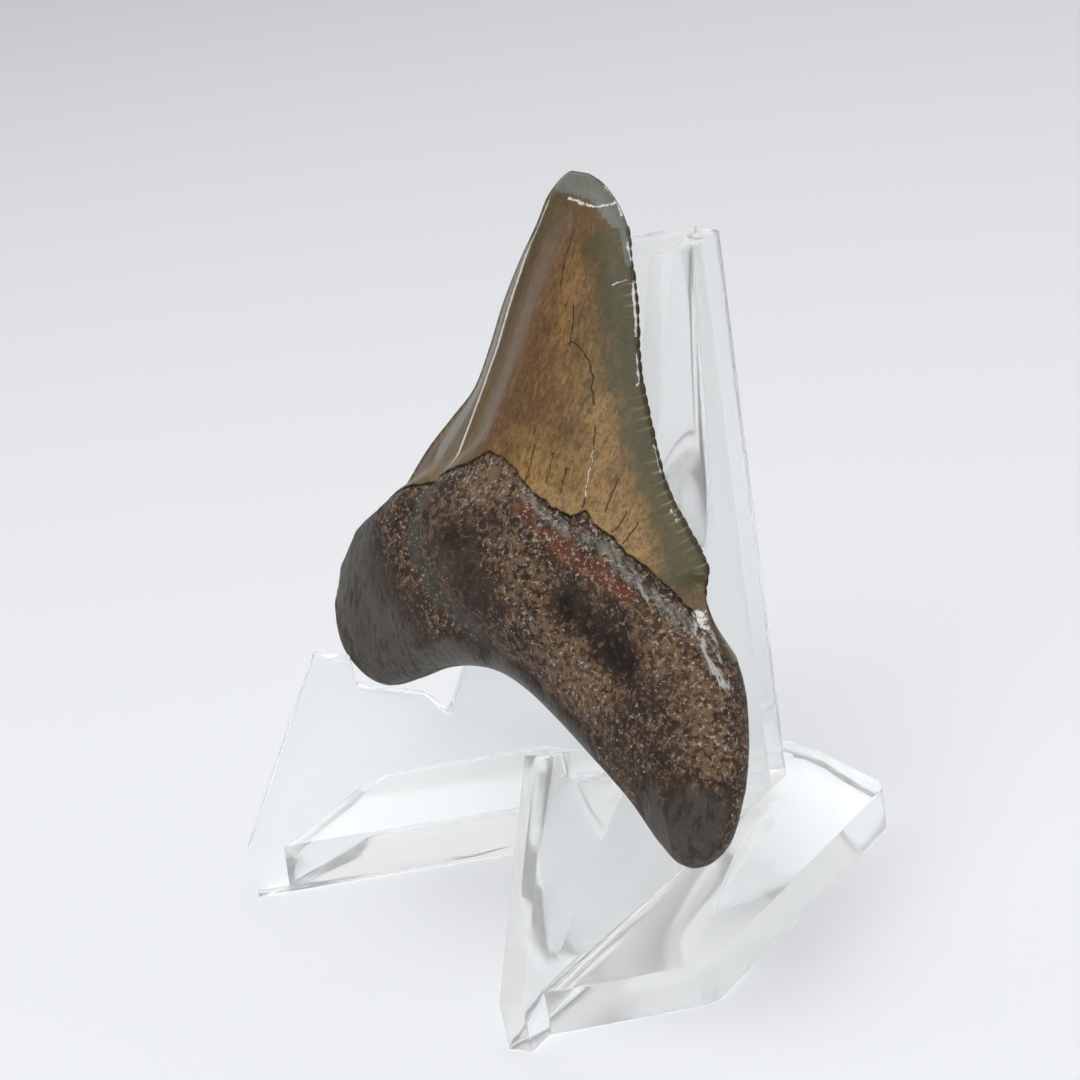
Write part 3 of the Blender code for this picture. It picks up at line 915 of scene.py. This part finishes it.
@dataclass
class FossilFinish:
    """Fossil tooth: glassy mineral-stained enamel over a granular, waxy, dark root."""

    # Named for what it shows: a soft gloss over brown streaks, and matt dark crumbs below
    name = "fossil_enamel_and_root"
    # Colours from the lowest layer up: mask, colour and strength
    olive: str = "6D583C"
    enamel_layers: Layers = (
        ("dull", "5C4C33", 0.7), ("warm", "6E4E36", 0.75), ("gold", "9E7C4E", 0.9),
        ("mottled", "5C4C33", 0.4), ("fibre_dark", "4A351F", 0.5), ("fibre_pale", "AE925F", 0.3),
        ("edge_band", "55482C", 0.5), ("green", "4A4930", 0.75), ("tick", "B4B2A2", 0.28),
        ("chipped", "767C75", 0.8), ("pit", "4A351F", 0.25), ("mottled", "24150D", 0.14),
        # flank: a painted grey reflection on the left flank
        ("crack", "24150D", 0.85), ("filled", "DCDDDA", 0.8), ("flank", "94918C", 0.66),
        # crest: a painted highlight along the crease
        ("crest", "E6E5E0", 0.8), ("sliver", "DCDDDA", 0.9), ("rim", "34201C", 0.75),
    )
    brown: str = "382B24"
    root_layers: Layers = (
        ("patchy", "4E3D31", 0.8), ("red", "7A4028", 0.65), ("dark", "1E1916", 0.9),
        ("grey", "5A5852", 0.75), ("smooth", "57534C", 0.6), ("mottled", "937458", 0.1),
        ("lined", "23211E", 0.6), ("tan", "937458", 0.78), ("white", "CFC6BA", 0.75),
        ("neck", "93938C", 0.6), ("seam", "24150D", 0.65), ("flaked", "DCDDDA", 0.75),
    )
    shine: float = 0.2
    seam_height: float = -0.05
    tick_pitch: float = 0.86
    tree: NodeTree = field(init=False)
    # What the mesh gives, with the noises, and the masks from 0 to 1 made of them
    found: Sockets = field(default_factory=dict)
    masks: Sockets = field(default_factory=dict)

    def build(self) -> Material:
        """Builds the material.

        Returns:
            The finished material.
        """
        material, shader = new_material(self.name, {"IOR": 1.5, "Specular IOR Level": self.shine})
        self.tree = material.node_tree
        self.read_fields()
        self.add_noises()
        self.add_masks()
        enamel = self.layered(self.olive, self.enamel_layers)
        root = self.layered(self.brown, self.root_layers)
        colour = self.add("ShaderNodeMix", {0: self.masks["enamel"], 6: root, 7: enamel},
                          data_type="RGBA").outputs[2]
        self.tree.links.new(colour, shader.inputs["Base Color"])
        self.tree.links.new(self.roughness(), shader.inputs["Roughness"])
        self.tree.links.new(self.bump(), shader.inputs["Normal"])
        return material

    def add(self, kind: str, inputs: dict[Any, Any], **settings: Any) -> Node:
        """Adds a node to the material's tree."""
        return add_node(self.tree, kind, inputs, **settings)

    def read_fields(self) -> None:
        """Reads the mesh's fields, stains and painted light under their short names."""
        for name in ("above_edge", "rim", "along", "crack", "filled", *(s.value for s in StainOrPaintedLight)):
            read = self.add("ShaderNodeAttribute", {}, attribute_name=name)
            self.found[name.removeprefix("stain_")] = read.outputs["Fac"]

    def add_noises(self) -> None:
        """Makes the noise that the colours and the bump share, 1 of its scale being 1 per mm."""
        plan = self.add("ShaderNodeAttribute", {}, attribute_name="plan").outputs["Vector"]
        for name, (stretch, scale, detail, rough) in NOISES.items():
            place = self.add("ShaderNodeVectorMath", {0: plan, 1: stretch}, operation="MULTIPLY")
            self.found[name] = self.add(
                "ShaderNodeTexNoise", {"Vector": place.outputs[0], "Scale": scale,
                                       "Detail": detail, "Roughness": rough}).outputs["Fac"]
        # Streaks that run down along the shoulder, 0.3 mm wide and about 3 mm long
        slant = self.add("ShaderNodeMapping",
                         {"Vector": plan, "Rotation": (0.0, 0.0, math.radians(-40.0)),
                          "Scale": (10.0, 1.0, 1.0)}, vector_type="TEXTURE")
        self.found["slant"] = self.add(
            "ShaderNodeTexNoise", {"Vector": slant.outputs[0], "Scale": 3.2, "Detail": 3.0,
                                   "Roughness": 0.6}).outputs["Fac"]
        self.found["pit"] = self.add("ShaderNodeTexVoronoi",
                                     {"Vector": plan, "Scale": 1.8}).outputs["Distance"]

    def add_masks(self) -> None:
        """Turns fields and patterns into masks from 0 to 1."""
        found, made = self.found, self.masks
        for name, (pattern, gains, low, high) in MASKS.items():
            value = found[pattern]
            for added, gain in gains.items():
                value = self.add("ShaderNodeMath", {0: found[added], 1: gain, 2: value},
                                 operation="MULTIPLY_ADD").outputs[0]
            made[name] = self.add("ShaderNodeMapRange",
                                  {"Value": value, "From Min": low, "From Max": high},
                                  interpolation_type="SMOOTHSTEP").outputs[0]
        gap = self.add("ShaderNodeMath", {0: found["above_edge"], 1: self.seam_height},
                       operation="SUBTRACT")
        off_seam = self.add("ShaderNodeMath", {0: gap.outputs[0]}, operation="ABSOLUTE")
        wave = self.add("ShaderNodeMath", {0: found["along"], 1: 2 * math.pi / self.tick_pitch},
                        operation="MULTIPLY")
        swing = self.add("ShaderNodeMath", {0: wave.outputs[0]}, operation="SINE")
        for name, source, low, high in (("seam", off_seam.outputs[0], 0.14, 0.04),
                                        ("ticks", swing.outputs[0], 0.55, 0.95),
                                        ("near_rim", found["rim"], 1.1, 0.3)):
            made[name] = self.add("ShaderNodeMapRange", {
                "Value": source, "From Min": low, "From Max": high}).outputs[0]
        for name, one, two in (("near_tick", "ticks", "near_rim"), ("tick", "near_tick", "patchy"),
                               ("lined", "curved", "smooth")):
            made[name] = self.add("ShaderNodeMath", {0: made[one], 1: made[two]},
                                  operation="MULTIPLY").outputs[0]

    def layered(self, base: str, layers: Layers) -> NodeSocket:
        """Lays colours over one another.

        Args:
            base: Colour of the lowest layer.
            layers: Mask name, colour and strength of each layer above it.

        Returns:
            The colour that results.
        """
        colour: Any = linear(base)
        for mask, code, strength in layers:
            share = self.add("ShaderNodeMath", {0: self.masks[mask], 1: strength},
                             operation="MULTIPLY").outputs[0]
            colour = self.add("ShaderNodeMix", {0: share, 6: colour, 7: linear(code)},
                              data_type="RGBA").outputs[2]
        return colour

    def roughness(self) -> NodeSocket:
        """Makes the enamel glassy, the grains matt and the worn places waxy.

        Returns:
            The roughness.
        """
        value: Any = 0.5
        for mask, rough in (("tan", 0.62), ("smooth", 0.42), ("red", 0.4), ("neck", 0.45),
                            ("enamel", 0.33), ("chipped", 0.35)):
            value = self.add("ShaderNodeMix", {0: self.masks[mask], 2: value, 3: rough},
                             data_type="FLOAT").outputs[0]
        return value

    def bump(self) -> NodeSocket:
        """Makes the root's grain and the enamel's faint ripples.

        Returns:
            The normal that results.
        """
        found, masks = self.found, self.masks
        root = self.add("ShaderNodeMath", {0: 1.0, 1: masks["enamel"]}, operation="SUBTRACT")
        calm = self.add("ShaderNodeMath", {0: masks["smooth"], 1: -0.7, 2: 1.0},
                        operation="MULTIPLY_ADD")
        rough = self.add("ShaderNodeMath", {0: root.outputs[0], 1: calm.outputs[0]},
                         operation="MULTIPLY").outputs[0]
        height: Any = 0.0
        # Pattern, where it shows, and its height in millimetres
        for pattern, share, size in ((found["grain"], rough, 0.45), (found["fine"], rough, 0.2),
                                     (masks["pit"], rough, -0.05),
                                     (masks["curved"], root.outputs[0], -0.02),
                                     (found["fibre"], masks["enamel"], 0.015),
                                     (masks["crack"], masks["enamel"], -0.05)):
            part = self.add("ShaderNodeMath", {0: pattern, 1: share}, operation="MULTIPLY")
            height = self.add("ShaderNodeMath", {0: part.outputs[0], 1: size, 2: height},
                              operation="MULTIPLY_ADD").outputs[0]
        return self.add("ShaderNodeBump", {"Height": height, "Distance": MM,
                                           "Strength": 1.0}).outputs[0]


@dataclass(frozen=True)
class ClearPlasticFinish:
    """Clear moulded polystyrene: glassy, with the faint ripples of a polished mould."""

    # Named for the plastic of such easels: it gives soft white edges and hardly any tint
    name: str = "clear_moulded_polystyrene"
    tint: str = "FBFCFC"
    ior: float = 1.22
    roughness: float = 0.05
    transmission: float = 0.85

    def build(self) -> Material:
        """Builds the material.

        Returns:
            The finished material.
        """
        material, shader = new_material(self.name, {
            "Base Color": linear(self.tint), "Roughness": self.roughness, "IOR": self.ior,
            "Transmission Weight": self.transmission})
        tree = material.node_tree
        place = add_node(tree, "ShaderNodeTexCoord").outputs["Object"]
        # Ripples about 9 mm apart and a hundredth of a millimetre high, as sinks in a thin moulding
        ripple = add_node(tree, "ShaderNodeTexNoise",
                          {"Vector": place, "Scale": 110.0, "Detail": 1.0}).outputs["Fac"]
        bump = add_node(tree, "ShaderNodeBump",
                        {"Height": ripple, "Distance": 0.03 * MM, "Strength": 0.5}).outputs[0]
        tree.links.new(bump, shader.inputs["Normal"])
        return material


@dataclass
class DisplayEasel:
    """The clear easel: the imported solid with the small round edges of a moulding."""

    node: Object
    edge_round: float = 0.4
    segments: int = 3
    crease: float = math.radians(20.0)

    def build(self) -> Object:
        """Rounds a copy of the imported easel's edges.

        Returns:
            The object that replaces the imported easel.
        """
        work = bmesh.new()
        work.from_mesh(self.node.data)
        bmesh.ops.remove_doubles(work, verts=work.verts, dist=0.01 * MM)
        bmesh.ops.dissolve_limit(work, angle_limit=math.radians(1.0), verts=work.verts,
                                 edges=work.edges)
        mesh = bpy.data.meshes.new("easel")
        work.to_mesh(mesh)
        work.free()
        obj = add_object("clear_easel", mesh)
        bevel = obj.modifiers.new("round", "BEVEL")
        bevel.width = self.edge_round * MM
        bevel.segments = self.segments
        bevel.limit_method = "ANGLE"
        bevel.angle_limit = self.crease
        bevel.use_clamp_overlap = True
        bevel.harden_normals = True
        baked_mesh(obj).shade_smooth()
        # A clear moulding lets nearly all of the soft light through to the floor under it
        obj.visible_shadow = False
        return obj


@dataclass(frozen=True)
class Studio:
    """Pale floor, soft lights and the camera at the photograph's angle."""

    camera_place: Triple = (188.96, -130.72, 97.34)
    azimuth: float = math.radians(59.76)
    elevation: float = math.radians(17.53)
    roll: float = math.radians(-8.36)
    lens: float = 101.78
    sensor: float = 36.0
    floor_half: float = 4.0
    floor_colour: str = "E9EBEE"
    floor_roughness: float = 0.8
    floor_level: float = -0.1
    sky_low: str = "3C3E40"
    sky_high: str = "FFFFFF"
    tent: float = 1.13
    sky_aim: Triple = (-0.25, 0.72, 0.65)
    sky_range: Pair = (-0.35, 0.75)
    sky_strength: float = 0.7
    # Name, place, size and power, in metres and watts, and the place that the lamps face
    lamps: tuple[tuple[str, Triple, float, float], ...] = (
        ("key", (0.28, -0.42, 0.5), 0.4, 1.6), ("ceiling", (0.05, -0.1, 0.8), 0.8, 3.0))
    lit_place: Triple = (0.0, -0.015, 0.025)

    def build_camera(self) -> None:
        """Places the camera and makes it the scene's."""
        sin_a, cos_a = math.sin(self.azimuth), math.cos(self.azimuth)
        flat = math.cos(self.elevation)
        ahead = Vector((-sin_a * flat, cos_a * flat, -math.sin(self.elevation)))
        right = Vector((cos_a, sin_a, 0.0))
        up = right.cross(ahead)
        rolled = right * math.cos(self.roll) + up * math.sin(self.roll)
        upright = up * math.cos(self.roll) - right * math.sin(self.roll)
        data = bpy.data.cameras.new("camera")
        data.lens = self.lens
        data.sensor_width = self.sensor
        data.clip_start = 0.01
        camera = add_object("camera", data)
        camera.matrix_world = Matrix((rolled, upright, -ahead)).transposed().to_4x4()
        camera.location = Vector(self.camera_place) * MM
        bpy.context.scene.camera = camera

    def build_floor(self) -> None:
        """Lays the floor, which rides on no body."""
        corners = np.array([(x * self.floor_half, y * self.floor_half, self.floor_level * MM)
                            for x, y in ((-1, -1), (1, -1), (1, 1), (-1, 1))])
        floor = add_object("floor", plain_mesh("floor", corners, [(0, 1, 2, 3)]))
        paper, _ = new_material("pale_paper", {
            "Base Color": linear(self.floor_colour), "Roughness": self.floor_roughness})
        floor.data.materials.append(paper)

    def build_lights(self) -> None:
        """Hangs a soft key light and a broad ceiling light, and lights the air."""
        world = bpy.data.worlds.new("studio_air")
        world.use_nodes = True
        tree = world.node_tree
        add = partial(add_node, tree)
        air = tree.nodes["Background"]
        way = add("ShaderNodeTexCoord").outputs["Generated"]
        facing = add("ShaderNodeVectorMath", {0: way, 1: self.sky_aim}, operation="DOT_PRODUCT")
        low, high = self.sky_range
        share = add("ShaderNodeMapRange",
                    {"Value": facing.outputs["Value"], "From Min": low, "From Max": high},
                    interpolation_type="SMOOTHSTEP")
        low, high = linear(self.sky_low), linear(self.sky_high)
        sky = add("ShaderNodeMix", {0: share.outputs[0], 6: low, 7: high}, data_type="RGBA")
        # What is seen through the clear plastic is the white tent all round
        rays = add("ShaderNodeLightPath").outputs["Is Transmission Ray"]
        white = (self.tent, self.tent, self.tent, 1.0)
        tent = add("ShaderNodeMix", {0: rays, 6: sky.outputs[2], 7: white}, data_type="RGBA")
        tree.links.new(tent.outputs[2], air.inputs["Color"])
        air.inputs["Strength"].default_value = self.sky_strength
        bpy.context.scene.world = world
        bpy.context.scene.view_settings.view_transform = "Standard"
        for name, place, size, power in self.lamps:
            data = bpy.data.lights.new(name, "AREA")
            data.size = size
            data.energy = power
            lamp = add_object(name, data)
            lamp.location = place
            aim = Vector(self.lit_place) - Vector(place)
            lamp.rotation_euler = aim.to_track_quat("-Z", "Y").to_euler()


def finish_piece(piece: Object, material: Material, slot: str) -> None:
    """Dresses a piece, rides it on the object's one body and logs the slot given for it.

    Args:
        piece: The piece.
        material: Its finish.
        slot: Name of the slot for that finish, which is only logged.
    """
    piece.data.materials.clear()
    piece.data.materials.append(material)
    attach(piece, "root")
    LOG.info("%s: %d faces, slot %s", piece.name, len(piece.data.polygons), slot)


def main() -> None:
    """Builds the tooth, its serrations, the easel and the studio."""
    logging.basicConfig(level=logging.INFO, format="%(message)s")
    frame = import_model()
    fossil = FossilFinish().build()
    tooth = FossilTooth(ToothFrame())
    fields = SurfaceFields(tooth)
    body = tooth.build()
    fields.write(body.data)
    finish_piece(body, fossil, "fossil")
    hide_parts("tooth")
    row = Serrations(tooth).build("right_serrations")
    fields.write(row.data)
    finish_piece(row, fossil, "fossil")
    easel = DisplayEasel(frame["nodes"]["display_stand"]).build()
    finish_piece(easel, ClearPlasticFinish().build(), "clear_acrylic")
    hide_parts("display_stand")
    studio = Studio()
    studio.build_camera()
    studio.build_floor()
    studio.build_lights()


if __name__ == "__main__":
    main()
